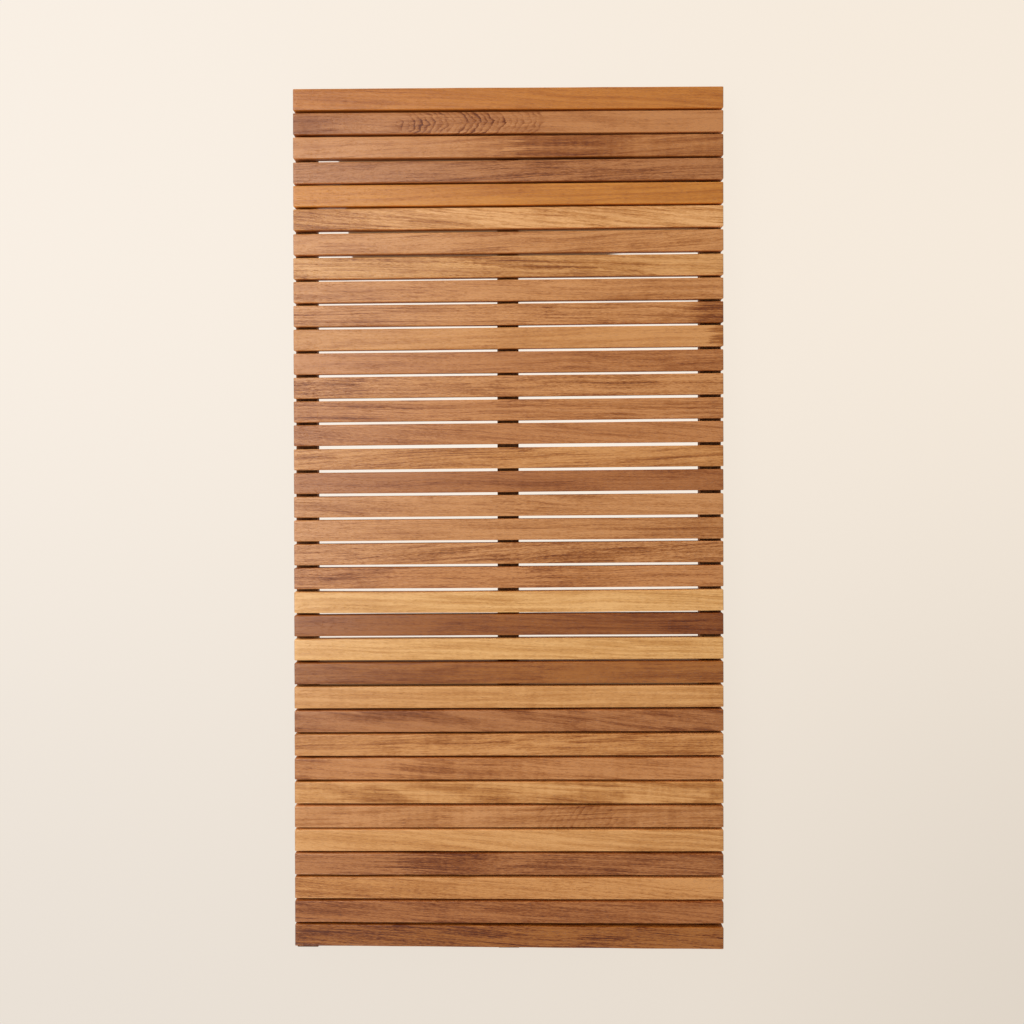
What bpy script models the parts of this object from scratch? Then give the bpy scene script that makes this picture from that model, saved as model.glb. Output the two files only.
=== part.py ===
"""Slatted teak bath mat: 36 slats screwed from below onto three lengthwise battens with rubber feet.

Units are metres and +Z is up. X runs along the slats and Y along the mat. The origin is on the floor,
under the middle of the mat. Slat 1 is at the +Y end, and the battens stand out past slat 36 at the -Y end.
"""

import math

import bmesh
import bpy

# Driving dimensions
SLAT_COUNT = 36
SLAT_LENGTH = 0.400
SLAT_WIDTH = 0.0195
SLAT_THICKNESS = 0.012
SLAT_FIELD_LENGTH = 0.800  # from the outer edge of the first slat to that of the last
BATTEN_WIDTH = 0.020
BATTEN_THICKNESS = 0.012
BATTEN_OVERHANG = 0.0065  # how far the battens stand out past the last slat
FOOT_DIAMETER = 0.012
FOOT_PROUD = 0.0035  # the part of a foot below the batten
FOOT_SEATED = 0.003  # the part of a foot inside its socket
SCREW_LENGTH = 0.020
SCREW_HEAD_DIAMETER = 0.007
SCREW_SHANK_DIAMETER = 0.0035

# Details
GAP = 0.0003  # between pieces that touch
SLAT_EASING = 0.0012
BATTEN_EASING = 0.0008
EASING_SEGMENTS = 2
FOOT_ROUNDING = 0.001
FOOT_ROUNDING_STEPS = 3
ROUND_SEGMENTS = 20
HOLE_SEGMENTS = 12
SCREW_RECESS = 0.0003  # the head's face lies this far inside the batten
SCREW_TIP_LENGTH = 0.003
SCREW_TIP_RADIUS = 0.0004
DRIVE_ARM_LENGTH = 0.0021
DRIVE_ARM_HALF_WIDTH = 0.0005
DRIVE_DEPTH = 0.0014
CUT_MARGIN = 0.001  # how far a cutter reaches past the face it opens

# Where things are
SCREWED_SLATS = (1, 12, 25, 36)  # the slats whose screws are modelled
FEET_AFTER_SLATS = {"far": 2, "middle": 18, "near": 34}  # each foot sits between this slat and the next
PITCH = (SLAT_FIELD_LENGTH - SLAT_WIDTH) / (SLAT_COUNT - 1)
MAT_LENGTH = SLAT_FIELD_LENGTH + BATTEN_OVERHANG
BATTEN_BOTTOM = FOOT_PROUD
BATTEN_TOP = BATTEN_BOTTOM + BATTEN_THICKNESS
SLAT_BOTTOM = BATTEN_TOP + GAP
BATTEN_SPREAD = (SLAT_LENGTH - BATTEN_WIDTH) / 2  # the outer battens end flush with the slats
BATTENS = {"left": -BATTEN_SPREAD, "centre": 0.0, "right": BATTEN_SPREAD}

# Colour, roughness and metallic value
TEAK = ((0.36, 0.17, 0.07), 0.45, 0.0)
TEAK_DARK = ((0.22, 0.10, 0.045), 0.55, 0.0)
RUBBER = ((0.03, 0.03, 0.032), 0.8, 0.0)
STEEL = ((0.62, 0.61, 0.59), 0.3, 1.0)


def clear_scene():
    for thing in list(bpy.data.objects):
        bpy.data.objects.remove(thing, do_unlink=True)


def slat_y(number):
    """The middle of a slat, counted from 1 at the +Y end."""
    first = MAT_LENGTH / 2 - SLAT_WIDTH / 2
    return first - (number - 1) * PITCH


def make_material(name, look):
    colour, roughness, metallic = look
    material = bpy.data.materials.new(name)
    material.use_nodes = True
    shader = material.node_tree.nodes["Principled BSDF"]
    shader.inputs["Base Color"].default_value = (*colour, 1.0)
    shader.inputs["Roughness"].default_value = roughness
    shader.inputs["Metallic"].default_value = metallic
    return material


def add_object(name, mesh, location=(0.0, 0.0, 0.0)):
    thing = bpy.data.objects.new(name, mesh)
    thing.location = location
    bpy.context.scene.collection.objects.link(thing)
    return thing


def box_mesh(name, size_x, size_y, size_z):
    """A box standing on its own origin, centred in X and Y."""
    shape = bmesh.new()
    bmesh.ops.create_cube(shape, size=1.0)
    for corner in shape.verts:
        corner.co.x *= size_x
        corner.co.y *= size_y
        corner.co.z = (corner.co.z + 0.5) * size_z
    mesh = bpy.data.meshes.new(name)
    shape.to_mesh(mesh)
    shape.free()
    return mesh


def turn(shape, profile, segments, centre=(0.0, 0.0)):
    """Adds a solid turned about Z. The profile runs upwards, as (radius, height), and ends get flat caps."""
    rings = []
    for radius, height in profile:
        ring = []
        for step in range(segments):
            angle = 2 * math.pi * step / segments
            x = centre[0] + radius * math.cos(angle)
            y = centre[1] + radius * math.sin(angle)
            ring.append(shape.verts.new((x, y, height)))
        rings.append(ring)
    for lower, upper in zip(rings, rings[1:]):
        for step in range(segments):
            after = (step + 1) % segments
            shape.faces.new((lower[step], lower[after], upper[after], upper[step]))
    shape.faces.new(list(reversed(rings[0])))
    shape.faces.new(rings[-1])


def turned_mesh(name, profile, segments):
    shape = bmesh.new()
    turn(shape, profile, segments)
    mesh = bpy.data.meshes.new(name)
    shape.to_mesh(mesh)
    shape.free()
    mesh.shade_smooth()
    mesh.set_sharp_from_angle(angle=math.radians(40))
    return mesh


def as_cutter(thing):
    thing.display_type = "WIRE"
    thing.hide_render = True
    return thing


def ease_edges(thing, width):
    bevel = thing.modifiers.new("eased edges", "BEVEL")
    bevel.width = width
    bevel.segments = EASING_SEGMENTS
    bevel.limit_method = "ANGLE"
    bevel.angle_limit = math.radians(60)


def cut(thing, cutter):
    boolean = thing.modifiers.new(cutter.name, "BOOLEAN")
    boolean.operation = "DIFFERENCE"
    boolean.solver = "EXACT"
    boolean.object = cutter


def make_pilot_hole_cutter():
    """The blind holes in the slats for the screws' points."""
    radius = SCREW_SHANK_DIAMETER / 2 + GAP
    top = BATTEN_BOTTOM + SCREW_RECESS + SCREW_LENGTH + GAP
    profile = ((radius, SLAT_BOTTOM - CUT_MARGIN), (radius, top))
    shape = bmesh.new()
    for x in BATTENS.values():
        for number in SCREWED_SLATS:
            turn(shape, profile, HOLE_SEGMENTS, (x, slat_y(number)))
    mesh = bpy.data.meshes.new("pilot_holes")
    shape.to_mesh(mesh)
    shape.free()
    return as_cutter(add_object("pilot_holes", mesh))


def make_batten_cutter():
    """In every batten: countersunk through holes for the screws, and round sockets for the feet."""
    hole = SCREW_SHANK_DIAMETER / 2 + GAP
    mouth = SCREW_HEAD_DIAMETER / 2 + GAP
    sink_start = BATTEN_BOTTOM + SCREW_RECESS
    screw_profile = (
        (mouth, BATTEN_BOTTOM - CUT_MARGIN),
        (mouth, sink_start),
        (hole, sink_start + mouth - hole),
        (hole, BATTEN_TOP + CUT_MARGIN),
    )
    socket = FOOT_DIAMETER / 2 + GAP
    foot_profile = (
        (socket, BATTEN_BOTTOM - CUT_MARGIN),
        (socket, BATTEN_BOTTOM + FOOT_SEATED + GAP),
    )
    shape = bmesh.new()
    for x in BATTENS.values():
        for number in SCREWED_SLATS:
            turn(shape, screw_profile, HOLE_SEGMENTS, (x, slat_y(number)))
        for number in FEET_AFTER_SLATS.values():
            turn(shape, foot_profile, ROUND_SEGMENTS, (x, slat_y(number + 0.5)))
    mesh = bpy.data.meshes.new("batten_holes")
    shape.to_mesh(mesh)
    shape.free()
    return as_cutter(add_object("batten_holes", mesh))


def make_drive_cutter():
    """A cross-shaped prism that opens the drive recess of one screw at the origin."""
    arm = DRIVE_ARM_LENGTH
    half = DRIVE_ARM_HALF_WIDTH
    quarter = ((arm, -half), (arm, half), (half, half))
    outline = []
    for turns in range(4):
        for x, y in quarter:
            for _ in range(turns):
                x, y = -y, x
            outline.append((x, y))
    shape = bmesh.new()
    floor = [shape.verts.new((x, y, -CUT_MARGIN)) for x, y in outline]
    roof = [shape.verts.new((x, y, DRIVE_DEPTH)) for x, y in outline]
    for step in range(len(outline)):
        after = (step + 1) % len(outline)
        shape.faces.new((floor[step], floor[after], roof[after], roof[step]))
    shape.faces.new(list(reversed(floor)))
    shape.faces.new(roof)
    mesh = bpy.data.meshes.new("drive_recess")
    shape.to_mesh(mesh)
    shape.free()
    return mesh


def make_slats(material, pilot_holes):
    mesh = box_mesh("slat", SLAT_LENGTH, SLAT_WIDTH, SLAT_THICKNESS)
    mesh.materials.append(material)
    for number in range(1, SLAT_COUNT + 1):
        slat = add_object(f"slat_{number:02d}", mesh, (0.0, slat_y(number), SLAT_BOTTOM))
        ease_edges(slat, SLAT_EASING)
        if number in SCREWED_SLATS:
            cut(slat, pilot_holes)


def make_battens(material, batten_holes):
    mesh = box_mesh("batten", BATTEN_WIDTH, MAT_LENGTH, BATTEN_THICKNESS)
    mesh.materials.append(material)
    for side, x in BATTENS.items():
        batten = add_object(f"batten_{side}", mesh, (x, 0.0, BATTEN_BOTTOM))
        ease_edges(batten, BATTEN_EASING)
        cut(batten, batten_holes)


def foot_profile():
    """A short plug with a rounded lower edge, from the floor up."""
    radius = FOOT_DIAMETER / 2
    points = []
    for step in range(FOOT_ROUNDING_STEPS + 1):
        angle = math.pi / 2 * step / FOOT_ROUNDING_STEPS
        out = radius - FOOT_ROUNDING * (1 - math.sin(angle))
        points.append((out, FOOT_ROUNDING * (1 - math.cos(angle))))
    points.append((radius, FOOT_PROUD + FOOT_SEATED))
    return points


def make_feet(material):
    mesh = turned_mesh("foot", foot_profile(), ROUND_SEGMENTS)
    mesh.materials.append(material)
    for side, x in BATTENS.items():
        for place, number in FEET_AFTER_SLATS.items():
            add_object(f"foot_{side}_{place}", mesh, (x, slat_y(number + 0.5), 0.0))


def screw_profile():
    """A countersunk screw standing on its head, with a tapered point."""
    head = SCREW_HEAD_DIAMETER / 2
    shank = SCREW_SHANK_DIAMETER / 2
    return (
        (head, 0.0),
        (shank, head - shank),
        (shank, SCREW_LENGTH - SCREW_TIP_LENGTH),
        (SCREW_TIP_RADIUS, SCREW_LENGTH),
    )


def make_screws(material):
    mesh = turned_mesh("screw", screw_profile(), HOLE_SEGMENTS)
    mesh.materials.append(material)
    drive = make_drive_cutter()
    height = BATTEN_BOTTOM + SCREW_RECESS
    for side, x in BATTENS.items():
        for number in SCREWED_SLATS:
            place = (x, slat_y(number), height)
            screw = add_object(f"screw_{side}_{number:02d}", mesh, place)
            recess = add_object(f"drive_recess_{side}_{number:02d}", drive, place)
            cut(screw, as_cutter(recess))


def main():
    clear_scene()
    teak = make_material("teak", TEAK)
    teak_dark = make_material("teak_dark", TEAK_DARK)
    rubber = make_material("rubber", RUBBER)
    steel = make_material("steel", STEEL)
    make_slats(teak, make_pilot_hole_cutter())
    make_battens(teak_dark, make_batten_cutter())
    make_feet(rubber)
    make_screws(steel)


main()
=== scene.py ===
"""Looks of the slatted teak bath mat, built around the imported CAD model.

Everything is in metres in the CAD frame: +Z up, X along the slats, Y along the mat. Slats and battens are
modelled along their own X axis, which is also the direction of their grain.
"""

import math
import random

import bmesh
import bpy
from mathutils import Matrix, Vector, noise


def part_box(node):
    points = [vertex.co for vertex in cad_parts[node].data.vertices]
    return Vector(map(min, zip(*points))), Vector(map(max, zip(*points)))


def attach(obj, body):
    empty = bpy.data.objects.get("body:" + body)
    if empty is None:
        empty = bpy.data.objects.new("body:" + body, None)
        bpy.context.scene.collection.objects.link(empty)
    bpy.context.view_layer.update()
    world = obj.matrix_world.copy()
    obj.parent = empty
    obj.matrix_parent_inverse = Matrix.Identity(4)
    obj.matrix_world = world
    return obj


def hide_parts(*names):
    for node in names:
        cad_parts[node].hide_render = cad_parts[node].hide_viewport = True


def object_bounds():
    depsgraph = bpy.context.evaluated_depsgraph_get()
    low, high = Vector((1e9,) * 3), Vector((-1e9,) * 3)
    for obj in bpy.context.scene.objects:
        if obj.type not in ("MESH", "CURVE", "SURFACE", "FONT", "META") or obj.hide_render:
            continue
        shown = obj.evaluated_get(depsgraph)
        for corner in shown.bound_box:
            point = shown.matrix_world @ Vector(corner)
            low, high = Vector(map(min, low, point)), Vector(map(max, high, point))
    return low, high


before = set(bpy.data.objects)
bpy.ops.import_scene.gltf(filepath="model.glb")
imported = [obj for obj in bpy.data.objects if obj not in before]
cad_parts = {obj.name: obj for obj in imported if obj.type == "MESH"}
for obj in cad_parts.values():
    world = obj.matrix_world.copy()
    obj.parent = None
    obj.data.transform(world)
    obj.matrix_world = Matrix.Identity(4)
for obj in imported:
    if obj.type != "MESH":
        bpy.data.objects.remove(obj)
cad_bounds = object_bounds()

MM = 0.001

# What the frame says
SLAT_COUNT = sum(name.startswith("slat_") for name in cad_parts)
SIDES = ("left", "centre", "right")
FOOT_PLACES = ("far", "middle", "near")
SLAT_BOXES = [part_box(f"slat_{number:02d}") for number in range(1, SLAT_COUNT + 1)]
BATTEN_BOXES = {side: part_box(f"batten_{side}") for side in SIDES}
SLAT_SIZE = SLAT_BOXES[0][1] - SLAT_BOXES[0][0]
SLAT_TOP = SLAT_BOXES[0][1].z

# Slats as a joiner leaves them: sanded edges, and each a little out of true
SLAT_EASING = 0.9 * MM
END_EASING = 0.8 * MM
SLAT_SKEW = math.radians(0.47)  # the middle slats' turn on the battens; the first and last have none of it
SLAT_SKEW_BIAS = 0.75  # below 1, the most turned slats are nearer the first one
SLAT_DRIFT = 0.75 * MM  # how far the middle slats sit towards +Y
SLAT_JITTER = 0.14 * MM
BATTEN_EASING = 0.9 * MM

# Slow changes along a piece: how much to either side, and over what length
SLAT_SIDE_BOW = (0.12 * MM, 0.21)
SLAT_LIFT = (0.10 * MM, 0.26)
SLAT_WIDTH_CHANGE = (0.10 * MM, 0.12)
SLAT_EASING_CHANGE = (0.25 * MM, 0.035)
BATTEN_EASING_CHANGE = (0.3 * MM, 0.05)

# Where in the noise those changes come from, so that no two are alike
LIFT_LANE = 1.3
WIDTH_LANE = 2.7
EASING_LANE = 4.1  # the first of four, one for each corner
LANES_OF_ONE_PIECE = 10.0
FIRST_BATTEN_LANE = 1000.0
LANE_DEPTH = 0.37  # off the whole numbers, where the noise is 0

# Fittings, as in the CAD model
CLEARANCE = 0.3 * MM
CUT_MARGIN = 1.0 * MM  # how far a cutter reaches past the face it opens
SCREW_SHANK_RADIUS = 1.75 * MM

# Camera
CAMERA_HEIGHT = 1.05  # above the slats
CAMERA_Y = 0.061
CAMERA_TILT = (math.radians(-0.38), math.radians(0.82), math.radians(-0.09))
CAMERA_LENS = 39.66
CAMERA_SENSOR = 36.0
CAMERA_SHIFT = (0.0196, -0.0471)
CAMERA_REACH = 100.0

# Teak shades, as the mean colour of a slat (linear RGB)
SHADES = {
    "straw": (0.500, 0.249, 0.075),
    "gold": (0.494, 0.229, 0.072),
    "honey": (0.432, 0.193, 0.054),
    "wheat": (0.394, 0.162, 0.042),
    "sienna": (0.378, 0.152, 0.042),
    "tan": (0.368, 0.149, 0.043),
    "amber": (0.381, 0.132, 0.016),
    "copper": (0.339, 0.109, 0.014),
    "chestnut": (0.348, 0.132, 0.035),
    "russet": (0.327, 0.120, 0.031),
    "brown": (0.282, 0.100, 0.026),
    "cocoa": (0.265, 0.088, 0.020),
    "umber": (0.232, 0.072, 0.010),
    "bark": (0.205, 0.059, 0.008),
}
# The battens' teak: darker partly in its own tone and partly as painted shade for lying deep under the slats
BATTEN_TEAK_AND_PAINTED_SHADE = (0.110, 0.040, 0.012)
SLAT_SHADES = (
    "copper russet chestnut brown amber gold sienna honey sienna "
    "sienna wheat russet sienna chestnut russet wheat cocoa tan "
    "tan tan chestnut straw bark straw umber honey brown "
    "wheat chestnut honey tan honey brown wheat cocoa umber"
).split()


def between(low, high, share):
    return low + (high - low) * share


# ----------------------------------------------------------------------------------------------- node trees


class Graph:
    """Adds linked nodes to one tree. A value is a number, a tuple or another node's output."""

    def __init__(self, tree):
        self.tree = tree

    def add(self, kind, **settings):
        node = self.tree.nodes.new(kind)
        for name, value in settings.items():
            setattr(node, name, value)
        return node

    def put(self, socket, value):
        if isinstance(value, bpy.types.NodeSocket):
            self.tree.links.new(value, socket)
        else:
            socket.default_value = value

    def math(self, operation, *values, clamp=False):
        node = self.add("ShaderNodeMath", operation=operation, use_clamp=clamp)
        for socket, value in zip(node.inputs, values):
            self.put(socket, value)
        return node.outputs[0]

    def vector_math(self, operation, *values, output="Vector"):
        node = self.add("ShaderNodeVectorMath", operation=operation)
        for socket, value in zip(node.inputs, values):
            self.put(socket, value)
        return node.outputs[output]

    def millimetres(self):
        """The place on the piece, in its own axes."""
        place = self.add("ShaderNodeTexCoord").outputs["Object"]
        return self.vector_math("MULTIPLY", place, (1 / MM, 1 / MM, 1 / MM))

    def noise(self, position, grain, detail=2.0, roughness=0.5, distortion=0.0, output="Fac"):
        """Noise whose patches measure about grain (x, y, z), in the position's own units."""
        node = self.add("ShaderNodeTexNoise")
        self.put(node.inputs["Vector"], self.vector_math("DIVIDE", position, grain))
        node.inputs["Scale"].default_value = 1.0
        node.inputs["Detail"].default_value = detail
        node.inputs["Roughness"].default_value = roughness
        node.inputs["Distortion"].default_value = distortion
        return node.outputs[output]

    def wobble(self, position, grain, reach):
        """The position, moved smoothly by up to about half of reach (x, y, z)."""
        push = self.noise(position, grain, detail=1.0, output="Color")
        push = self.vector_math("SUBTRACT", push, (0.5, 0.5, 0.5))
        push = self.vector_math("MULTIPLY", push, reach)
        return self.vector_math("ADD", position, push)

    def add_part(self, value, share, total):
        """total + share * (value - 0.5): a part that swings about its middle."""
        return self.math("MULTIPLY_ADD", self.math("SUBTRACT", value, 0.5), share, total)

    def spread(self, value, low, high, to_low=0.0, to_high=1.0):
        """The value from low to high, brought smoothly to the new range."""
        node = self.add("ShaderNodeMapRange", interpolation_type="SMOOTHSTEP")
        for name, entry in (("Value", value), ("From Min", low), ("From Max", high),
                            ("To Min", to_low), ("To Max", to_high)):
            self.put(node.inputs[name], entry)
        return node.outputs["Result"]

    def curve(self, value, points):
        """A grey ramp through (place, level) points."""
        node = self.add("ShaderNodeValToRGB")
        ramp = node.color_ramp
        while len(ramp.elements) < len(points):
            ramp.elements.new(0.5)
        for element, (place, level) in zip(ramp.elements, points):
            element.position = place
            element.color = (level, level, level, 1.0)
        self.put(node.inputs["Fac"], value)
        return node.outputs["Color"]

    def mix(self, share, first, second, blend="MIX"):
        """Two colours, mixed. The node has other sockets for numbers and vectors."""
        node = self.add("ShaderNodeMix", data_type="RGBA", blend_type=blend)
        for socket, value in ((0, share), (6, first), (7, second)):
            self.put(node.inputs[socket], value)
        return node.outputs[2]

    def bump(self, height, distance, strength=1.0):
        node = self.add("ShaderNodeBump")
        node.inputs["Strength"].default_value = strength
        node.inputs["Distance"].default_value = distance
        self.put(node.inputs["Height"], height)
        return node.outputs["Normal"]


def new_material(name):
    material = bpy.data.materials.new(name)
    material.use_nodes = True
    shader = material.node_tree.nodes["Principled BSDF"]
    return material, Graph(material.node_tree), shader


# ----------------------------------------------------------------------------------------------------- teak

# What a piece of teak can differ in. Lengths and places along the piece are in millimetres.
TEAK_NUMBERS = {
    "Ring pitch": 3.2,
    "Rings": 0.35,
    "Ripple": 0.7,
    "Fibres": 1.0,
    "Streaks": 0.25,
    "Patches": 0.2,
    "Curl": 0.3,
    "Lean": 0.0,  # how much darker the +X end is than the middle
    "Stain": 0.0,
    "Stain centre": 0.0,
    "Stain half width": 40.0,
    "Fray": 1.0,  # how far the stain's ends run into the grain
    "Figure": 0.0,  # how many rings the figured stretch goes through
    "Figure tone": 0.0,
    "Figure centre": 0.0,
    "Figure half width": 70.0,
}
HALF_SLAT = SLAT_SIZE.x / 2 / MM

# The log's bends: their size, and how far they go from side to side, both in millimetres
LOG_BENDS = (((130.0, 30.0, 30.0), (0.0, 9.0, 9.0)), ((40.0, 9.0, 9.0), (0.0, 1.1, 1.1)))

# Noise in the wood. Grain is the size of its marks in millimetres, along the fibres and both ways across.
WOOD_NOISE = {
    "ripple": {"grain": (9.0, 4.5, 4.5)},
    "fading": {"grain": (45.0, 8.0, 8.0)},
    "drift": {"grain": (120.0, 40.0, 40.0), "detail": 1.0},
    "bands": {"grain": (240.0, 3.8, 3.8)},
    "lines": {"grain": (110.0, 0.95, 0.95), "roughness": 0.6},
    "fine": {"grain": (4.5, 0.42, 0.42), "roughness": 0.65},
    "streaks": {"grain": (95.0, 1.4, 1.4), "roughness": 0.6},
    "patches": {"grain": (60.0, 12.0, 12.0), "detail": 3.0},
    "curl": {"grain": (6.5, 26.0, 26.0), "distortion": 0.4},
    "pores": {"grain": (4.2, 0.30, 0.30), "detail": 1.0},
}

# The values of such noise between which a mark appears
FADING_RANGE = (0.38, 0.62)
STREAK_RANGE = (0.5, 0.7)
PATCH_RANGE = (0.42, 0.62)
PORE_START = 0.615
LATE_WOOD_RISE = 0.07  # how much higher that start is in late wood
PORE_SOFTNESS = 0.06

# One year's ring, from the pale early wood to the dark late wood
RING_PROFILE = ((0.0, 0.25), (0.06, 0.0), (0.45, 0.2), (0.78, 0.75), (0.93, 1.0), (1.0, 0.25))
FAINTEST_YEAR = 0.3
FADED_RING = 0.35

# Where figure and stain end, as shares of their half widths, and how far the grain moves a stain's ends
FIGURE_EDGE = (1.0, 0.8)
STAIN_EDGE = (1.25, 0.55)
FRAY_BY_LINES = 130.0
FRAY_BY_BANDS = 110.0

# The tone of the wood before any marks, and what the marks add to it
CLEAR_TONE = 0.17
DRIFT_TONE = 0.5
BAND_TONE = 1.2
LINE_TONE = 1.4
FINE_TONE = 1.7
PORE_TONE = 0.35

# How bright the wood is at a tone of 0 and of 1, and at the least. At a level of 1 it has its own shade.
PALE_LEVEL = 1.27
DEEP_LEVEL = 0.52
LOWEST_LEVEL = 0.30
TONE_POWERS = (1.0, 1.52, 2.5)  # dark teak is redder: green and blue fall faster than red

# Eased edges get a painted highlight, sawn sides painted light near the top and painted shade lower down.
# End grain is darker. Each comes in between two slants of the surface.
EDGE_SLANTS = (0.1, 0.5)
SIDE_SLANTS = (0.6, 1.0)
END_SLANTS = (0.35, 0.9)
EDGE_HIGHLIGHT_COLOUR = (1.15, 1.16, 1.18, 1.0)
SIDE_PAINTED_LIGHT_COLOUR = (1.35, 1.32, 1.25, 1.0)
SIDE_PAINTED_SHADE_COLOUR = (0.95, 0.85, 0.75, 1.0)
SIDE_SHADE_HEIGHTS = (3.5, -1.0)  # the heights between which a side turns from painted light to painted shade, in millimetres
END_COLOUR = (0.50, 0.44, 0.40, 1.0)

SPECULAR = 0.5
SIDE_SPECULAR = 0.2
DARK_GLOSS = 0.75  # how glossy the darkest streaks and stains are, beside the rest
DARK_GLOSS_TONES = (0.4, 1.1)
ROUGHNESS = 0.27
LINE_ROUGHNESS = 0.25
PORE_ROUGHNESS = 0.2
SIDE_ROUGHNESS = 0.35
END_ROUGHNESS = 0.2

# The surface's relief: its height, and the share that each mark has in it
RELIEF_HEIGHT = 0.06 * MM
LATE_WOOD_RELIEF = 0.25
LINE_RELIEF = 0.7
FINE_RELIEF = 0.5
PORE_RELIEF = -0.9

# Where a piece may lie in the trunk: the pith's distance, the reach along the log, and the grain's angles
PITH_DISTANCES = (35.0, 110.0)
LOG_REACH = 5000.0
SLOPE_SPREAD = 0.035
DIP_SPREAD = 0.012


def add_sockets(tree):
    """The group's inputs and outputs."""
    face = tree.interface
    for name in ("Log", "Piece"):
        face.new_socket(name, in_out="INPUT", socket_type="NodeSocketVector")
    face.new_socket("Shade", in_out="INPUT", socket_type="NodeSocketColor")
    for name in TEAK_NUMBERS:
        face.new_socket(name, in_out="INPUT", socket_type="NodeSocketFloat")
    face.new_socket("Color", in_out="OUTPUT", socket_type="NodeSocketColor")
    for name in ("Roughness", "Specular", "Height"):
        face.new_socket(name, in_out="OUTPUT", socket_type="NodeSocketFloat")


def add_rings(g, given, log, along, marks):
    """The late wood in each growth ring, and the tone that the rings add.

    Rings are steps away from the pith, and figured wood also goes through such steps along the piece.
    """
    across_log = g.vector_math("MULTIPLY", log, (0.0, 1.0, 1.0))
    radius = g.vector_math("LENGTH", across_log, output="Value")
    figure_place = g.math("SUBTRACT", along, given["Figure centre"])
    figure_place = g.math("DIVIDE", figure_place, given["Figure half width"])
    figure_ramp = g.math("MULTIPLY_ADD", figure_place, 0.5, 0.5, clamp=True)
    rings = g.math("DIVIDE", radius, given["Ring pitch"])
    rings = g.math("MULTIPLY_ADD", figure_ramp, given["Figure"], rings)
    rings = g.math("MULTIPLY_ADD", marks["ripple"], given["Ripple"], rings)
    late_wood = g.curve(g.math("FRACT", rings), RING_PROFILE)

    year = g.add("ShaderNodeTexWhiteNoise", noise_dimensions="1D")
    g.put(year.inputs["W"], g.math("FLOOR", rings))
    tone = g.math("MULTIPLY", late_wood, g.spread(year.outputs["Value"], 0.0, 1.0, FAINTEST_YEAR, 1.0))
    tone = g.math("MULTIPLY", tone, g.spread(marks["fading"], *FADING_RANGE, FADED_RING, 1.0))
    figured = g.spread(g.math("ABSOLUTE", figure_place), *FIGURE_EDGE)
    strength = g.math("MULTIPLY_ADD", figured, given["Figure tone"], given["Rings"])
    return late_wood, g.math("MULTIPLY", tone, strength)


def add_stain(g, given, along, marks):
    """1 in the stain and 0 outside it, with ends that run into the grain."""
    fray = g.add_part(marks["lines"], FRAY_BY_LINES, g.add_part(marks["bands"], FRAY_BY_BANDS, 0.0))
    frayed = g.math("MULTIPLY_ADD", fray, given["Fray"], along)
    place = g.math("SUBTRACT", frayed, given["Stain centre"])
    place = g.math("DIVIDE", place, given["Stain half width"])
    return g.spread(g.math("ABSOLUTE", place), *STAIN_EDGE)


def add_pores(g, late_wood, marks):
    """Short dark dashes, fewer in late wood."""
    start = g.math("MULTIPLY_ADD", late_wood, LATE_WOOD_RISE, PORE_START)
    return g.spread(marks["pores"], start, g.math("ADD", start, PORE_SOFTNESS))


def add_tone(g, given, along, marks, ring_tone, pores):
    """How dark the wood is."""
    fibres = g.add_part(marks["fine"], FINE_TONE, g.add_part(marks["lines"], LINE_TONE, 0.0))
    streaks = g.spread(marks["streaks"], *STREAK_RANGE)
    patches = g.spread(marks["patches"], *PATCH_RANGE)
    stain = add_stain(g, given, along, marks)
    tone = g.math("MULTIPLY_ADD", g.math("DIVIDE", along, HALF_SLAT), given["Lean"], CLEAR_TONE)
    tone = g.add_part(marks["drift"], DRIFT_TONE, g.add_part(marks["bands"], BAND_TONE, tone))
    tone = g.math("MULTIPLY_ADD", fibres, given["Fibres"], tone)
    tone = g.math("MULTIPLY_ADD", streaks, given["Streaks"], tone)
    tone = g.math("MULTIPLY_ADD", patches, given["Patches"], tone)
    tone = g.add_part(marks["curl"], given["Curl"], tone)
    tone = g.math("ADD", ring_tone, tone)
    tone = g.math("MULTIPLY_ADD", stain, given["Stain"], tone)
    return g.math("MULTIPLY_ADD", pores, PORE_TONE, g.math("MAXIMUM", tone, 0.0))


def add_colour(g, shade, tone, height, edge_highlight, side, end_grain):
    """The wood's colour, from its shade and its tone, with painted highlights and painted light and shade.
    """
    level = g.math("MULTIPLY_ADD", tone, DEEP_LEVEL - PALE_LEVEL, PALE_LEVEL)
    level = g.math("MAXIMUM", level, LOWEST_LEVEL)
    levels = g.add("ShaderNodeCombineXYZ")
    for socket, power in zip(levels.inputs, TONE_POWERS):
        g.put(socket, g.math("POWER", level, power))
    colour = g.mix(1.0, shade, levels.outputs[0], "MULTIPLY")
    # Sawn sides: painted light near their top, painted shade lower down in the gaps
    side_light_and_shade = g.mix(g.spread(height, *SIDE_SHADE_HEIGHTS), SIDE_PAINTED_LIGHT_COLOUR, SIDE_PAINTED_SHADE_COLOUR)
    for share, change in ((edge_highlight, EDGE_HIGHLIGHT_COLOUR), (side, side_light_and_shade), (end_grain, END_COLOUR)):
        colour = g.mix(share, colour, g.mix(1.0, colour, change, "MULTIPLY"))
    return colour


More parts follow.
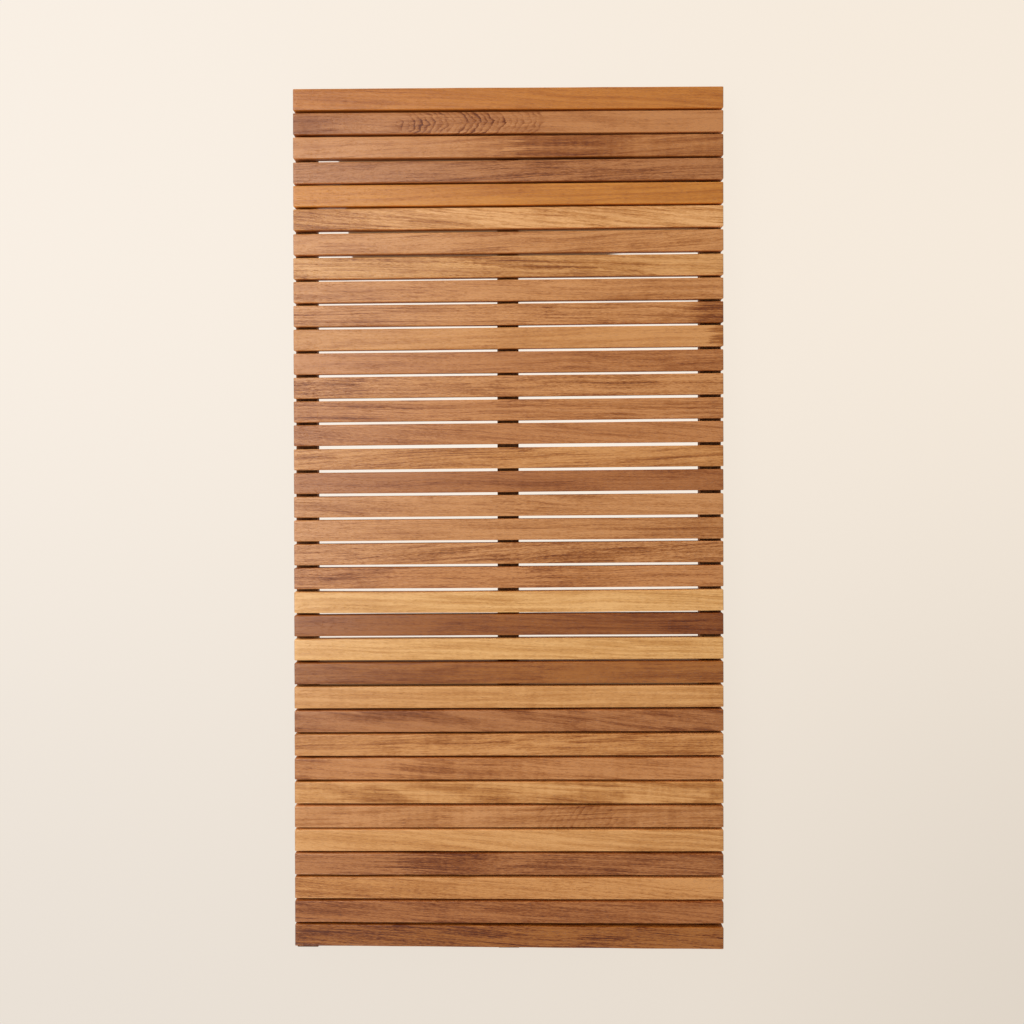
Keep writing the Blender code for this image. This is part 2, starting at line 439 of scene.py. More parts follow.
def teak_group():
    """Teak as a solid texture: growth rings about the pith, fibres and pores along it, and darker patches.

    Both positions are in millimetres. Log runs along the pith, and Piece is the slat's own.
    """
    tree = bpy.data.node_groups.new("teak", "ShaderNodeTree")
    add_sockets(tree)
    g = Graph(tree)
    given = g.add("NodeGroupInput").outputs
    piece = g.add("ShaderNodeSeparateXYZ")
    g.put(piece.inputs[0], given["Piece"])
    along = piece.outputs["X"]
    log = given["Log"]
    for size, reach in LOG_BENDS:
        log = g.wobble(log, size, reach)
    marks = {name: g.noise(log, **settings) for name, settings in WOOD_NOISE.items()}
    late_wood, ring_tone = add_rings(g, given, log, along, marks)
    pores = add_pores(g, late_wood, marks)
    tone = add_tone(g, given, along, marks, ring_tone, pores)

    # Where the painted edge highlight, the painted light and shade of the sides and the darker end grain go
    normal = g.add("ShaderNodeSeparateXYZ")
    g.put(normal.inputs[0], g.add("ShaderNodeTexCoord").outputs["Normal"])
    sideways = g.math("ABSOLUTE", normal.outputs["Y"])
    edge_highlight = g.spread(sideways, *EDGE_SLANTS)
    side = g.spread(sideways, *SIDE_SLANTS)
    end_grain = g.spread(g.math("ABSOLUTE", normal.outputs["X"]), *END_SLANTS)

    roughness = g.add_part(marks["lines"], LINE_ROUGHNESS, ROUGHNESS)
    roughness = g.math("MULTIPLY_ADD", pores, PORE_ROUGHNESS, roughness)
    roughness = g.math("MULTIPLY_ADD", side, SIDE_ROUGHNESS, roughness)
    roughness = g.math("MULTIPLY_ADD", end_grain, END_ROUGHNESS, roughness)
    specular = g.math("MULTIPLY_ADD", side, SIDE_SPECULAR - SPECULAR, SPECULAR)
    specular = g.math("MULTIPLY", specular, g.spread(tone, *DARK_GLOSS_TONES, 1.0, DARK_GLOSS))
    relief = g.math("MULTIPLY", marks["lines"], LINE_RELIEF)
    relief = g.math("MULTIPLY_ADD", late_wood, LATE_WOOD_RELIEF, relief)
    relief = g.math("MULTIPLY_ADD", marks["fine"], FINE_RELIEF, relief)
    relief = g.math("MULTIPLY_ADD", pores, PORE_RELIEF, relief)

    colour = add_colour(g, given["Shade"], tone, piece.outputs["Z"], edge_highlight, side, end_grain)
    out = g.add("NodeGroupOutput")
    g.put(out.inputs["Color"], colour)
    g.put(out.inputs["Roughness"], roughness)
    g.put(out.inputs["Specular"], specular)
    g.put(out.inputs["Height"], relief)
    return tree


TEAK = teak_group()


def teak_material(name, shade, dice, sawn=None, **numbers):
    """One piece of teak.

    dice picks where in the trunk it was sawn, unless sawn gives the pith's direction, in turns about the
    piece, its distance in millimetres, and the grain's slope. numbers change TEAK_NUMBERS.
    """
    material, g, shader = new_material(name)
    piece = g.millimetres()
    pith_turn = dice.random()
    pith_distance = dice.uniform(*PITH_DISTANCES)
    slope = dice.gauss(0.0, SLOPE_SPREAD)
    place_in_log = dice.uniform(-LOG_REACH, LOG_REACH)
    dip = dice.gauss(0.0, DIP_SPREAD)
    if sawn:
        pith_turn, pith_distance, slope = sawn
    angle = 2 * math.pi * pith_turn
    mapping = g.add("ShaderNodeMapping", vector_type="POINT")
    mapping.inputs["Location"].default_value = (
        place_in_log, pith_distance * math.cos(angle), pith_distance * math.sin(angle))
    mapping.inputs["Rotation"].default_value = (0.0, dip, slope)
    g.put(mapping.inputs["Vector"], piece)

    wood = g.add("ShaderNodeGroup", node_tree=TEAK)
    g.put(wood.inputs["Log"], mapping.outputs["Vector"])
    g.put(wood.inputs["Piece"], piece)
    wood.inputs["Shade"].default_value = (*shade, 1.0)
    for label, value in {**TEAK_NUMBERS, **numbers}.items():
        wood.inputs[label].default_value = value
    g.put(shader.inputs["Base Color"], wood.outputs["Color"])
    g.put(shader.inputs["Roughness"], wood.outputs["Roughness"])
    g.put(shader.inputs["Specular IOR Level"], wood.outputs["Specular"])
    g.put(shader.inputs["Normal"], g.bump(wood.outputs["Height"], RELIEF_HEIGHT))
    return material


# ----------------------------------------------------------------------------------------- rubber and steel

RUBBER_BLACK = (0.022, 0.022, 0.024, 1.0)
RUBBER_ROUGHNESS = 0.62
DUST_NOISE = {"grain": (3.0, 3.0, 1.5), "detail": 4.0, "roughness": 0.65}
DUST_RANGE = (0.45, 0.75)
DUST_COLOUR = (0.060, 0.056, 0.050, 1.0)
DUST_ROUGHNESS = 0.2
TOOTH_NOISE = {"grain": (0.25, 0.25, 0.25), "detail": 3.0, "roughness": 0.6}
TOOTH_HEIGHT = 0.05 * MM
TOOTH_STRENGTH = 0.6

STEEL_BRIGHT = (0.64, 0.63, 0.61, 1.0)
STEEL_ROUGHNESS = 0.16
BLOOM_NOISE = {"grain": (2.0, 2.0, 2.0), "detail": 3.0}
BLOOM_RANGE = (0.4, 0.7)
BLOOM_COLOUR = (0.50, 0.48, 0.45, 1.0)
BLOOM_ROUGHNESS = 0.18
TURNING_NOISE = {"grain": (1.2, 0.12, 0.12), "detail": 3.0, "roughness": 0.6}
TURNING_ROUGHNESS = 0.2
TURNING_HEIGHT = 0.02 * MM
TURNING_STRENGTH = 0.5


def rubber_material():
    """Black moulded rubber, dusty, with a fine tooth to it."""
    material, g, shader = new_material("rubber")
    place = g.millimetres()
    tooth = g.noise(place, **TOOTH_NOISE)
    dust = g.spread(g.noise(place, **DUST_NOISE), *DUST_RANGE)
    g.put(shader.inputs["Base Color"], g.mix(dust, RUBBER_BLACK, DUST_COLOUR))
    g.put(shader.inputs["Roughness"], g.math("MULTIPLY_ADD", dust, DUST_ROUGHNESS, RUBBER_ROUGHNESS))
    g.put(shader.inputs["Normal"], g.bump(tooth, TOOTH_HEIGHT, TOOTH_STRENGTH))
    return material


def steel_material():
    """Stainless steel with turning marks and a duller bloom in places."""
    material, g, shader = new_material("stainless_steel")
    shader.inputs["Metallic"].default_value = 1.0
    place = g.millimetres()
    turning = g.noise(place, **TURNING_NOISE)
    bloom = g.spread(g.noise(place, **BLOOM_NOISE), *BLOOM_RANGE)
    g.put(shader.inputs["Base Color"], g.mix(bloom, STEEL_BRIGHT, BLOOM_COLOUR))
    roughness = g.math("MULTIPLY_ADD", turning, TURNING_ROUGHNESS, STEEL_ROUGHNESS)
    g.put(shader.inputs["Roughness"], g.math("MULTIPLY_ADD", bloom, BLOOM_ROUGHNESS, roughness))
    g.put(shader.inputs["Normal"], g.bump(turning, TURNING_HEIGHT, TURNING_STRENGTH))
    return material


# ---------------------------------------------------------------------------------------------- wood shapes

CORNER_STEPS = 6
FLAT_STEPS = (4, 7)  # along a side face and along a top or bottom face
END_STEPS = 5
STATION_PITCH = 4 * MM
LEAST_RADIUS_SHARE = 0.25  # what at least is left of a corner's radius at the end of a bar
SMOOTH_ANGLE = math.radians(40)  # sharper edges stay sharp


def stations(length, easing):
    """Places along a bar as (x, inset): the inset grows to the easing at both ends, as a quarter round."""
    half = length / 2
    rounding = []
    for step in range(END_STEPS):
        angle = math.pi / 2 * step / END_STEPS
        rounding.append((half - easing * (1 - math.cos(angle)), easing * (1 - math.sin(angle))))
    count = round((length - 2 * easing) / STATION_PITCH)
    inner = [(between(-half + easing, half - easing, step / count), 0.0) for step in range(count + 1)]
    return [(-x, inset) for x, inset in rounding] + inner + list(reversed(rounding))


def section(half_y, half_z, radii):
    """A rectangle's outline with its four corners rounded, each by its own radius, anticlockwise from +Y."""
    corners = ((1, 1), (-1, 1), (-1, -1), (1, -1))
    arcs = []
    for place, ((side_y, side_z), radius) in enumerate(zip(corners, radii)):
        centre = Vector((side_y * (half_y - radius), side_z * (half_z - radius)))
        arc = []
        for step in range(CORNER_STEPS + 1):
            angle = math.pi / 2 * (place + step / CORNER_STEPS)
            arc.append(centre + radius * Vector((math.cos(angle), math.sin(angle))))
        arcs.append(arc)
    outline = []
    for place, arc in enumerate(arcs):
        after = arcs[(place + 1) % len(arcs)][0]
        outline += arc
        steps = FLAT_STEPS[1] if place % 2 == 0 else FLAT_STEPS[0]
        outline += [arc[-1].lerp(after, step / steps) for step in range(1, steps)]
    return outline


def bar_mesh(name, size, easing, uneven):
    """A wooden bar along X, eased at its ends.

    uneven(x) gives its shift, lift, extra width and four corner radii.
    """
    vertices = []
    outline = []
    for x, inset in stations(size.x, easing):
        shift, lift, extra, radii = uneven(x)
        half_y = size.y / 2 + extra / 2 - inset
        half_z = size.z / 2 - inset
        radii = [max(radius - inset, LEAST_RADIUS_SHARE * radius) for radius in radii]
        outline = section(half_y, half_z, radii)
        vertices += [(x, y + shift, z + lift) for y, z in outline]
    faces = []
    count = len(outline)
    rings = len(vertices) // count
    for ring in range(rings - 1):
        for step in range(count):
            after = (step + 1) % count
            low = ring * count
            high = low + count
            faces.append((low + step, low + after, high + after, high + step))
    faces.append(tuple(reversed(range(count))))
    faces.append(tuple(range((rings - 1) * count, rings * count)))
    mesh = bpy.data.meshes.new(name)
    mesh.from_pydata(vertices, [], faces)
    smooth(mesh)
    return mesh


def add_object(name, mesh, location=(0.0, 0.0, 0.0), turn=0.0):
    piece = bpy.data.objects.new(name, mesh)
    piece.location = location
    piece.rotation_euler.z = turn
    bpy.context.scene.collection.objects.link(piece)
    return piece


def wander(x, change, lane):
    """A slow change at x, up to about its reach to either side. Each lane runs its own way."""
    reach, length = change
    return reach * 2 * noise.noise(Vector((x / length, lane, LANE_DEPTH)))


# -------------------------------------------------------------------------------------------- turned shapes


def turned(shape, profile, segments, centre=(0.0, 0.0)):
    """Adds a solid turned about Z to a bmesh. The profile is (radius, height) pairs, listed upwards."""
    rings = []
    for radius, height in profile:
        ring = []
        for step in range(segments):
            angle = 2 * math.pi * step / segments
            place = (centre[0] + radius * math.cos(angle), centre[1] + radius * math.sin(angle), height)
            ring.append(shape.verts.new(place))
        rings.append(ring)
    for lower, upper in zip(rings, rings[1:]):
        for step in range(segments):
            after = (step + 1) % segments
            shape.faces.new((lower[step], lower[after], upper[after], upper[step]))
    shape.faces.new(tuple(reversed(rings[0])))
    shape.faces.new(rings[-1])


def to_mesh(shape, name):
    mesh = bpy.data.meshes.new(name)
    shape.to_mesh(mesh)
    shape.free()
    return mesh


def smooth(mesh):
    mesh.shade_smooth()
    mesh.set_sharp_from_angle(angle=SMOOTH_ANGLE)


def cut(piece, shape):
    """Cuts a bmesh's solids out of a piece for good."""
    cutter = add_object("cutter", to_mesh(shape, "cutter"))
    boolean = piece.modifiers.new("cut", "BOOLEAN")
    boolean.operation = "DIFFERENCE"
    boolean.solver = "EXACT"
    boolean.object = cutter
    depsgraph = bpy.context.evaluated_depsgraph_get()
    mesh = bpy.data.meshes.new_from_object(piece.evaluated_get(depsgraph))
    piece.modifiers.clear()
    piece.data = mesh
    smooth(mesh)
    bpy.data.objects.remove(cutter, do_unlink=True)


# ------------------------------------------------------------------------------------------------ the slats

# Kinds of grain, the kind of each slat from the first one on, and what sets a slat apart from its kind
KINDS = {
    "plain": {"Rings": 0.10, "Fibres": 0.6, "Streaks": 0.05, "Patches": 0.08, "Curl": 0.2},
    "fine": {"Rings": 0.20, "Fibres": 1.0, "Streaks": 0.15, "Patches": 0.15},
    "lined": {"Rings": 0.55, "Streaks": 0.45, "Patches": 0.15},
    "rough": {"Rings": 0.25, "Fibres": 1.5, "Streaks": 0.30, "Patches": 0.25},
    "patchy": {"Rings": 0.20, "Streaks": 0.20, "Patches": 0.45, "Curl": 0.5},
}
SLAT_KINDS = (
    "plain fine patchy rough plain lined fine lined fine "
    "lined plain fine rough lined fine lined fine fine "
    "fine rough rough plain rough plain rough plain patchy "
    "lined patchy patchy patchy plain rough fine rough lined"
).split()
SLAT_NUMBERS = {
    2: {"Figure": 24.0, "Figure tone": 1.3, "Figure centre": -34.0, "Figure half width": 72.0, "Rings": 0.05,
        "Ripple": 1.5, "Lean": -0.4, "Ring pitch": 4.5, "Fibres": 0.7},
    3: {"Stain": 0.52, "Stain centre": 60.0, "Stain half width": 52.0, "Fray": 0.6, "Lean": 0.3,
        "Patches": 0.1, "Fibres": 0.7},
    4: {"Lean": 0.2},
    5: {"Lean": 0.06},
    6: {"Lean": -0.05, "Fibres": 0.8, "Stain": 0.25, "Stain centre": -200.0, "Stain half width": 60.0},
    7: {"Lean": 0.05, "Streaks": 0.25},
    8: {"Lean": 0.05},
    10: {"Stain": 0.5, "Stain centre": 202.0, "Stain half width": 30.0, "Fray": 0.05, "Lean": 0.03},
    11: {"Stain": 0.65, "Stain centre": 203.0, "Stain half width": 14.0, "Fray": 0.3, "Lean": -0.15},
    12: {"Lean": 0.25},
    13: {"Lean": -0.18},
    14: {"Rings": 0.8},
    15: {"Lean": -0.1},
    17: {"Lean": 0.2},
    18: {"Lean": -0.12},
    19: {"Lean": 0.07},
    20: {"Stain": 0.30, "Stain centre": 20.0, "Stain half width": 62.0, "Lean": 0.08},
    21: {"Lean": -0.2},
    22: {"Fibres": 0.6, "Rings": 0.1},
    23: {"Lean": 0.35, "Rings": 0.4, "Fibres": 0.9},
    24: {"Fibres": 0.6, "Rings": 0.1},
    25: {"Lean": -0.15, "Fibres": 0.9},
    26: {"Curl": 0.3},
    27: {"Lean": 0.1},
    29: {"Stain": -0.2, "Stain centre": -150.0, "Stain half width": 60.0, "Lean": -0.2, "Patches": 0.2},
    30: {"Rings": 0.1, "Fibres": 0.7, "Patches": 0.42},
    31: {"Figure": 12.0, "Figure tone": 0.5, "Figure centre": 65.0, "Figure half width": 40.0, "Lean": 0.2,
         "Rings": 0.15, "Fibres": 0.8, "Patches": 0.2},
    32: {"Fibres": 0.6},
    33: {"Stain": 0.55, "Stain centre": -55.0, "Stain half width": 45.0, "Lean": 0.25, "Rings": 0.4},
    34: {"Lean": -0.25},
    36: {"Rings": 1.0, "Fibres": 1.8, "Streaks": 0.7, "Lean": -0.2},
}
SLAT_PLACES = {  # how far a slat is off towards +Y (mm), its extra turn (degrees) and its bow (mm)
    4: (-0.45, 0.12, 0.0),
    6: (0.40, 0.0, 0.0),
    7: (0.05, 0.08, 0.0),
    8: (-0.10, 0.0, 0.0),
    22: (0.0, 0.0, -0.7),
    23: (0.40, 0.0, 0.3),
    36: (-0.75, -0.22, 0.0),
}
FULLER_SLATS = ((5, 3, 0.30 * MM), (23, 26, 0.45 * MM))  # from a slat to another, growing wider by so much
SLAT_SAWN = {  # the pith's direction in turns, its distance in millimetres, and the grain's slope
    1: (0.02, 60.0, 0.06),
    2: (0.75, 14.0, 0.0),
    6: (0.05, 70.0, 0.09),
    7: (0.00, 80.0, -0.04),
    16: (0.95, 70.0, -0.04),
    29: (0.03, 90.0, 0.07),
    34: (0.04, 90.0, 0.08),
}


def fullness(number):
    """How much wider a slat was planed than most of them."""
    wider = 0.0
    for start, end, extra in FULLER_SLATS:
        wider += extra * min(1.0, max(0.0, (number - start) / (end - start)))
    return wider


def make_slat(number):
    """A slat of its own teak, a little uneven and out of true."""
    low, high = SLAT_BOXES[number - 1]
    dice = random.Random(f"slat {number}")
    lane = LANES_OF_ONE_PIECE * number
    off, extra_turn, bow = SLAT_PLACES.get(number, (0.0, 0.0, 0.0))
    wider = fullness(number)

    def uneven(x):
        shift = wander(x, SLAT_SIDE_BOW, lane) + bow * MM * (1 - (2 * x / SLAT_SIZE.x) ** 2)
        lift = wander(x, SLAT_LIFT, lane + LIFT_LANE)
        extra = wider + wander(x, SLAT_WIDTH_CHANGE, lane + WIDTH_LANE)
        lanes = [lane + EASING_LANE + corner for corner in range(4)]
        radii = [SLAT_EASING + wander(x, SLAT_EASING_CHANGE, its_lane) for its_lane in lanes]
        return shift, lift, extra, radii

    mesh = bar_mesh(f"slat_{number:02d}_wood", SLAT_SIZE, END_EASING, uneven)
    shade = SHADES[SLAT_SHADES[number - 1]]
    numbers = {**KINDS[SLAT_KINDS[number - 1]], **SLAT_NUMBERS.get(number, {})}
    mesh.materials.append(teak_material(f"teak_{number:02d}", shade, dice, SLAT_SAWN.get(number), **numbers))
    place = (low + high) / 2
    down_mat = (number - 1) / (SLAT_COUNT - 1)
    place.y += dice.uniform(-SLAT_JITTER, SLAT_JITTER) + SLAT_DRIFT * math.sin(math.pi * down_mat) + off * MM
    turn = SLAT_SKEW * math.sin(math.pi * down_mat ** SLAT_SKEW_BIAS) + math.radians(extra_turn)
    slat = add_object(f"slat_{number:02d}_wood", mesh, place, turn)
    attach(slat, "root")
    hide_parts(f"slat_{number:02d}")


# ------------------------------------------------------------------------------------------------- fittings

SCREWED_SLATS = [int(name[-2:]) for name in sorted(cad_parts) if name.startswith("screw_left_")]
SCREW_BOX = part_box(f"screw_left_{SCREWED_SLATS[0]:02d}")
SCREW_HEAD_RADIUS = (SCREW_BOX[1].x - SCREW_BOX[0].x) / 2
SCREW_LENGTH = SCREW_BOX[1].z - SCREW_BOX[0].z
SCREW_BOTTOM = SCREW_BOX[0].z
HEAD_RIM = 0.25 * MM
HEAD_BEVEL = 0.08 * MM
NECK = 3.0 * MM  # from the head's cone to the thread
TIP_LENGTH = 3.5 * MM
TIP_RADIUS = 0.3 * MM
THREAD_PITCH = 1.5 * MM
THREAD_DEPTH = 0.45 * MM
THREAD_STEPS = 5
SCREW_SEGMENTS = 24
DRIVE_REACH = 2.1 * MM
DRIVE_HALF_WIDTH = 0.5 * MM
DRIVE_DEPTH = 1.6 * MM
DRIVE_FLOOR_SHARE = 0.35
HOLE_SEGMENTS = 32

FOOT_SEGMENTS = 64
DIMPLE = (  # (radius, height) from next to the axis to the flat that stands on the floor
    (0.05 * MM, 0.5 * MM), (2.4 * MM, 0.5 * MM), (2.8 * MM, 0.4 * MM), (3.1 * MM, 0.1 * MM), (3.3 * MM, 0.0))
FOOT_ROUNDING = 1.0 * MM
FOOT_ROUNDING_STEPS = 8
FOOT_CHAMFER = 0.3 * MM
MOULD_LINE_HEIGHT = 2.2 * MM
MOULD_LINE_HALF_WIDTH = 0.15 * MM
MOULD_LINE_DEPTH = 0.12 * MM


def batten_x(side):
    low, high = BATTEN_BOXES[side]
    return (low.x + high.x) / 2


def slat_middle_y(number):
    low, high = SLAT_BOXES[number - 1]
    return (low.y + high.y) / 2


def foot_centre(side, place):
    low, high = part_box(f"foot_{side}_{place}")
    return (low + high) / 2


def screw_shape():
    """A countersunk wood screw standing on its head. The thread is a helix in the shank's radius."""
    shape = bmesh.new()
    head = SCREW_HEAD_RADIUS
    shank = SCREW_SHANK_RADIUS
    cone_end = HEAD_RIM + head - shank
    thread_start = cone_end + NECK
    step_height = THREAD_PITCH / THREAD_STEPS
    head_radii = {0.0: head - HEAD_BEVEL, HEAD_BEVEL: head, HEAD_RIM: head, cone_end: shank}
    count = int((SCREW_LENGTH - thread_start) / step_height)
    thread_heights = [thread_start + step_height * step for step in range(count)] + [SCREW_LENGTH]
    turned(shape, [(shank, height) for height in [*head_radii, *thread_heights]], SCREW_SEGMENTS)
    for corner in shape.verts:
        height = corner.co.z
        angle = math.atan2(corner.co.y, corner.co.x)
        if height < thread_start - step_height:
            radius = head_radii[min(head_radii, key=lambda place: abs(place - height))]
        else:
            to_tip = min(1.0, max(0.0, (SCREW_LENGTH - height) / TIP_LENGTH))
            wave = math.cos(2 * math.pi * height / THREAD_PITCH - angle)
            ridge = THREAD_DEPTH * (0.5 - 0.5 * wave) ** 2
            core = between(TIP_RADIUS, shank - THREAD_DEPTH, to_tip)
            radius = core + ridge * min(1.0, 2 * to_tip)
        corner.co.x = radius * math.cos(angle)
        corner.co.y = radius * math.sin(angle)
    return shape


def drive_shape():
    """The cross recess in a screw's head, which narrows inwards."""
    arm = DRIVE_REACH
    half = DRIVE_HALF_WIDTH
    outline = []
    for quarter in range(4):
        for x, y in ((arm, -half), (arm, half), (half, half)):
            for _ in range(quarter):
                x, y = -y, x
            outline.append((x, y))
    share = DRIVE_FLOOR_SHARE
    slope = (1 - share) / DRIVE_DEPTH
    shape = bmesh.new()
    floor = [shape.verts.new((x * share, y * share, DRIVE_DEPTH)) for x, y in outline]
    mouth_share = 1 + slope * CUT_MARGIN
    mouth = [shape.verts.new((x * mouth_share, y * mouth_share, -CUT_MARGIN)) for x, y in outline]
    for step in range(len(outline)):
        after = (step + 1) % len(outline)
        shape.faces.new((mouth[step], mouth[after], floor[after], floor[step]))
    shape.faces.new(tuple(reversed(mouth)))
    shape.faces.new(floor)
    return shape


def make_screws():
    """All 36 screws of each batten, as one piece for each batten."""
    steel = steel_material()
    master = add_object("screw", to_mesh(screw_shape(), "screw"))
    cut(master, drive_shape())
    for side in SIDES:
        dice = random.Random(f"screws {side}")
        group = bmesh.new()
        for number in range(1, SLAT_COUNT + 1):
            place = Vector((batten_x(side), slat_middle_y(number), SCREW_BOTTOM))
            spin = Matrix.Rotation(dice.uniform(0.0, 2 * math.pi), 4, "Z")
            before = len(group.verts)
            group.from_mesh(master.data)
            group.verts.ensure_lookup_table()
            bmesh.ops.transform(group, matrix=Matrix.Translation(place) @ spin, verts=group.verts[before:])
        mesh = to_mesh(group, f"screws_{side}")
        smooth(mesh)
        mesh.materials.append(steel)
        screws = add_object(f"screws_{side}", mesh)
        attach(screws, "root")
        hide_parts(*[f"screw_{side}_{number:02d}" for number in SCREWED_SLATS])
    bpy.data.objects.remove(master, do_unlink=True)


def foot_profile(radius, top):
    """A round rubber foot from the floor up: a dimple below, a rounded edge and a mould line."""
    points = list(DIMPLE)
    for step in range(FOOT_ROUNDING_STEPS + 1):
        angle = math.pi / 2 * step / FOOT_ROUNDING_STEPS
        inset = FOOT_ROUNDING * (1 - math.sin(angle))
        points.append((radius - inset, FOOT_ROUNDING * (1 - math.cos(angle))))
    points += [(radius, MOULD_LINE_HEIGHT - MOULD_LINE_HALF_WIDTH),
               (radius - MOULD_LINE_DEPTH, MOULD_LINE_HEIGHT),
               (radius, MOULD_LINE_HEIGHT + MOULD_LINE_HALF_WIDTH),
               (radius, top - FOOT_CHAMFER),
               (radius - FOOT_CHAMFER, top)]
    return points


def make_feet():
    """Three feet under each batten, all of one shape."""
    rubber = rubber_material()
    low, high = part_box("foot_centre_middle")
    shape = bmesh.new()
    turned(shape, foot_profile((high.x - low.x) / 2, high.z), FOOT_SEGMENTS)
    mesh = to_mesh(shape, "rubber_foot")
    smooth(mesh)
    mesh.materials.append(rubber)
    for side in SIDES:
        for place in FOOT_PLACES:
            centre = foot_centre(side, place)
            foot = add_object(f"rubber_foot_{side}_{place}", mesh, (centre.x, centre.y, 0.0))
            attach(foot, "root")
            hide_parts(f"foot_{side}_{place}")


# -------------------------------------------------------------------------------------------------- battens

UNOILED = {"Roughness": 0.8, "Specular IOR Level": 0.15}  # the battens' finish


def batten_holes(side):
    """The countersunk holes for the screws and the round sockets for the feet, in the batten's own axes."""
    low, high = BATTEN_BOXES[side]
    middle = (low + high) / 2
    bottom = low.z - middle.z
    top = high.z - middle.z
    hole = SCREW_SHANK_RADIUS + CLEARANCE
    mouth = SCREW_HEAD_RADIUS + CLEARANCE
    sink = SCREW_BOTTOM - middle.z + HEAD_RIM
    neck = sink + mouth - hole
    screw_hole = ((mouth, bottom - CUT_MARGIN), (mouth, sink), (hole, neck), (hole, top + CUT_MARGIN))
    foot_low, foot_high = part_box(f"foot_{side}_middle")
    socket = (foot_high.x - foot_low.x) / 2 + CLEARANCE
    foot_socket = ((socket, bottom - CUT_MARGIN), (socket, foot_high.z + CLEARANCE - middle.z))
    shape = bmesh.new()
    for number in range(1, SLAT_COUNT + 1):
        turned(shape, screw_hole, HOLE_SEGMENTS, (0.0, slat_middle_y(number) - middle.y))
    for place in FOOT_PLACES:
        turned(shape, foot_socket, FOOT_SEGMENTS, (0.0, foot_centre(side, place).y - middle.y))
    bmesh.ops.translate(shape, verts=shape.verts, vec=middle)
    return shape


def make_batten(side):
    """A batten of unoiled teak, darker partly in its own tone and partly as painted shade, with its holes
    and sockets.
    """
    low, high = BATTEN_BOXES[side]
    size = high - low
    dice = random.Random(f"batten {side}")
    lane = FIRST_BATTEN_LANE + LANES_OF_ONE_PIECE * SIDES.index(side)

    def uneven(x):
        radii = [BATTEN_EASING + wander(x, BATTEN_EASING_CHANGE, lane + corner) for corner in range(4)]
        return 0.0, 0.0, 0.0, radii

    lengthways = Vector((size.y, size.x, size.z))
    mesh = bar_mesh(f"batten_{side}_wood", lengthways, BATTEN_EASING, uneven)
    material = teak_material(f"teak_batten_{side}", BATTEN_TEAK_AND_PAINTED_SHADE, dice, **KINDS["rough"])
    sockets = material.node_tree.nodes["Principled BSDF"].inputs
    for name, value in UNOILED.items():
        material.node_tree.links.remove(sockets[name].links[0])
        sockets[name].default_value = value
    mesh.materials.append(material)
    batten = add_object(f"batten_{side}_wood", mesh, (low + high) / 2, math.pi / 2)
    cut(batten, batten_holes(side))
    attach(batten, "root")
    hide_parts(f"batten_{side}")


# ---------------------------------------------------------------------------------------------------- stage

FLOOR_HALF = 12.0
FLOOR_GREY = (0.01, 0.01, 0.01, 1.0)
FLOOR_ROUGHNESS = 0.9
FLOOR_LEFT = (0.905, 0.825, 0.735, 1.0)
FLOOR_RIGHT = (0.885, 0.79, 0.68, 1.0)
FLOOR_COLOUR_X = (-0.6, 0.6)  # from its left colour to its right one
FLOOR_NEAR_SHARE = 0.86  # how bright it is towards -Y, beside +Y
FLOOR_NEAR_Y = (0.3, -0.55)
FLOOR_CORNER_SHARE = 0.80  # and how bright it is there towards +X
FLOOR_CORNER_X = (0.15, 0.55)

# Painted shade on the floor below the mat, but for a lit middle stretch that reaches further up at its left
# and right
BELOW_SHARE = 1.1  # how bright it is, beside the floor around the mat
PAINTED_FLOOR_SHADE = (0.15, 0.080, 0.040, 1.0)  # painted shade, brown as if lit by the wood
SHADE_SOFTNESS = 0.006
LIT_Y = (-0.124, 0.242)
LIT_FURTHER_LEFT = 0.11
LIT_LEFT_X = (-0.145, -0.165)
LIT_FURTHER_RIGHT = 0.02
LIT_RIGHT_X = (0.08, 0.12)


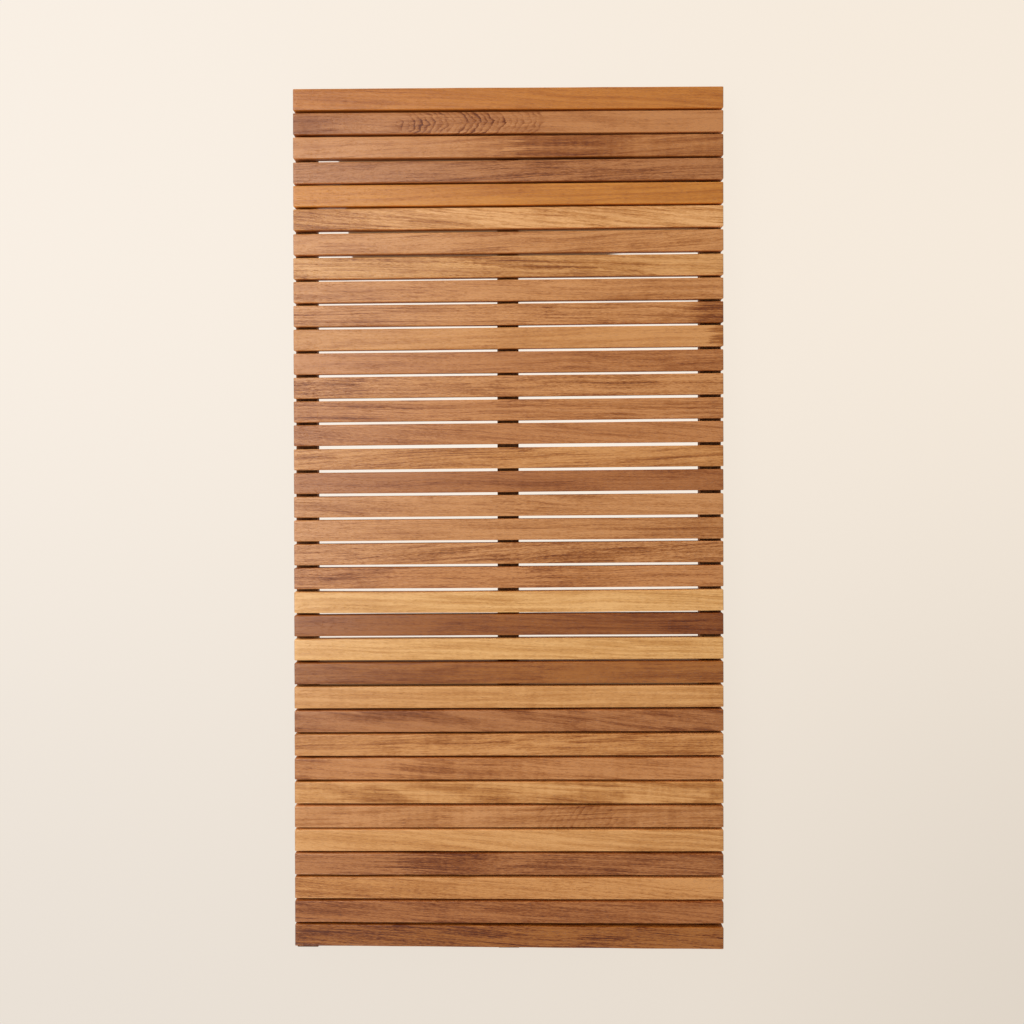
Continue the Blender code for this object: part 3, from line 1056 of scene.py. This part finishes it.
def make_floor():
    """Pale backdrop paper with light of its own: bright through the gaps, and without hard shadows.

    Below the mat its glow is painted shade, but for the lit middle, where the camera looks straight down
    through the gaps.
    """
    mesh = bpy.data.meshes.new("floor")
    half = FLOOR_HALF
    corners = [(-half, -half, 0), (half, -half, 0), (half, half, 0), (-half, half, 0)]
    mesh.from_pydata(corners, [], [(0, 1, 2, 3)])
    material, g, shader = new_material("floor")
    shader.inputs["Base Color"].default_value = FLOOR_GREY
    shader.inputs["Roughness"].default_value = FLOOR_ROUGHNESS
    split = g.add("ShaderNodeSeparateXYZ")
    g.put(split.inputs[0], g.add("ShaderNodeTexCoord").outputs["Object"])
    x = split.outputs["X"]
    y = split.outputs["Y"]
    glow = g.mix(g.spread(x, *FLOOR_COLOUR_X), FLOOR_LEFT, FLOOR_RIGHT)
    near_share = g.spread(x, *FLOOR_CORNER_X, FLOOR_NEAR_SHARE, FLOOR_CORNER_SHARE)
    nearness = g.spread(y, *FLOOR_NEAR_Y, 1.0, near_share)

    soft = SHADE_SOFTNESS
    half_x = max(corner[0] for corner in cad_bounds)
    half_y = max(corner[1] for corner in cad_bounds)
    under_x = g.spread(g.math("ABSOLUTE", x), half_x, half_x - soft)
    under = g.math("MULTIPLY", under_x, g.spread(g.math("ABSOLUTE", y), half_y, half_y - soft))
    near_edge, far_edge = LIT_Y
    lit = g.spread(y, near_edge - soft, near_edge + soft)
    far_edge = g.spread(x, *LIT_LEFT_X, far_edge, far_edge + LIT_FURTHER_LEFT)
    far_edge = g.math("ADD", far_edge, g.spread(x, *LIT_RIGHT_X, 0.0, LIT_FURTHER_RIGHT))
    lit = g.math("MULTIPLY", lit, g.spread(g.math("SUBTRACT", far_edge, y), -soft, soft))
    brightness = g.math("MULTIPLY", nearness, g.math("MULTIPLY_ADD", under, BELOW_SHARE - 1, 1.0))
    # Painted shade below the mat, outside the lit stretch
    painted_shade_below = g.math("MULTIPLY", under, g.math("SUBTRACT", 1.0, lit))
    g.put(shader.inputs["Emission Color"], g.mix(painted_shade_below, glow, PAINTED_FLOOR_SHADE))
    g.put(shader.inputs["Emission Strength"], brightness)
    mesh.materials.append(material)
    add_object("floor", mesh)


LIGHT_COLOUR = (1.0, 0.97, 0.93)
WORLD_STRENGTH = 0.5
LAMPS = {  # the width and height of each, its place, and its watts
    "softbox": ((2.2, 2.6), (-1.5, 0.36, 2.3), 58.0),
    "key": ((1.2, 1.2), (-1.5, 2.2, 1.8), 28.0),
    "fill": ((1.5, 1.5), (-1.2, -2.1, 1.8), 20.0),
}


def make_lights():
    """A soft sky and three lamps that face the middle of the mat."""
    world = bpy.data.worlds.new("studio")
    world.use_nodes = True
    background = world.node_tree.nodes["Background"]
    background.inputs["Color"].default_value = (*LIGHT_COLOUR, 1.0)
    background.inputs["Strength"].default_value = WORLD_STRENGTH
    bpy.context.scene.world = world
    for name, (size, place, watts) in LAMPS.items():
        light = bpy.data.lights.new(name, "AREA")
        light.shape = "RECTANGLE"
        light.size, light.size_y = size
        light.energy = watts
        light.color = LIGHT_COLOUR
        lamp = bpy.data.objects.new(name, light)
        lamp.location = place
        lamp.rotation_euler = (-Vector(place)).to_track_quat("-Z", "Y").to_euler()
        bpy.context.scene.collection.objects.link(lamp)


def make_camera():
    """A camera above the mat, where the photograph was taken from."""
    lens = bpy.data.cameras.new("camera")
    lens.lens = CAMERA_LENS
    lens.sensor_width = CAMERA_SENSOR
    lens.shift_x, lens.shift_y = CAMERA_SHIFT
    lens.clip_end = CAMERA_REACH
    camera = bpy.data.objects.new("camera", lens)
    camera.location = (0.0, CAMERA_Y, SLAT_TOP + CAMERA_HEIGHT)
    camera.rotation_euler = CAMERA_TILT
    bpy.context.scene.collection.objects.link(camera)
    bpy.context.scene.camera = camera


make_camera()
make_lights()
make_floor()
for number in range(1, SLAT_COUNT + 1):
    make_slat(number)
for side in SIDES:
    make_batten(side)
make_feet()
make_screws()
bpy.context.scene.view_settings.view_transform = "Standard"
